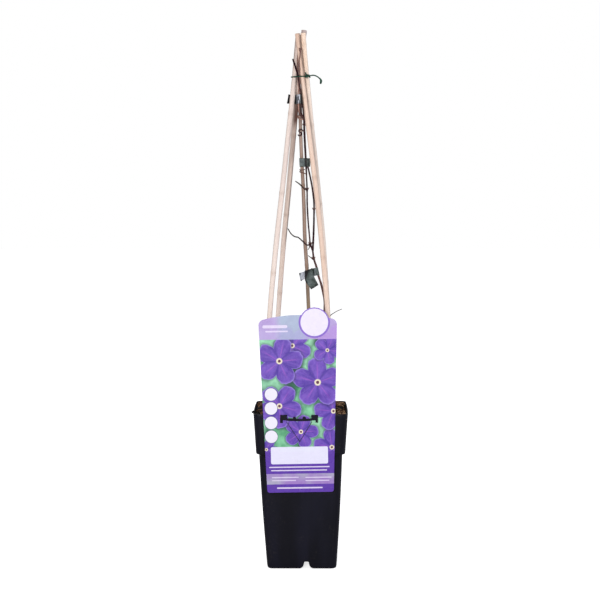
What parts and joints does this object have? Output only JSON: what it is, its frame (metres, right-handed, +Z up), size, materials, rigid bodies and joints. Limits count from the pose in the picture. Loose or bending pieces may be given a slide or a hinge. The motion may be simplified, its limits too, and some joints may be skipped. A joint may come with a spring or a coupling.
{
  "type": "potted climbing plant",
  "caption": "Leafless young climber tied to bamboo canes in a tall square nursery pot filled with potting mix, with a picture label on the rim.",
  "frame": {"origin": "middle of the bounding box at the surface that the pot's feet stand on", "axes": "+Z up along the pot and canes, -Y towards the label and the viewer, +X to the viewer's right"},
  "size_m": [0.132, 0.1328, 0.7507],
  "materials": {
    "pot_plastic": "satin",
    "potting_mix": "matte",
    "label_plastic": "gloss",
    "bamboo": "satin",
    "aged_bamboo": "satin",
    "stem_bark": "matte",
    "coated_wire": "satin",
    "tie_tape": "satin"
  },
  "bodies": {
    "root": {"pot": "pot_plastic", "soil": "potting_mix", "label": "label_plastic", "cane_front_left": "bamboo", "cane_back_left": "bamboo", "cane_front_right": "bamboo", "cane_back_right": "bamboo", "cane_centre": "aged_bamboo", "clematis": "stem_bark", "wire_tie": "coated_wire", "tape_top": "tie_tape", "tape_middle": "tie_tape", "tape_low": "tie_tape"}
  },
  "joints": []
}
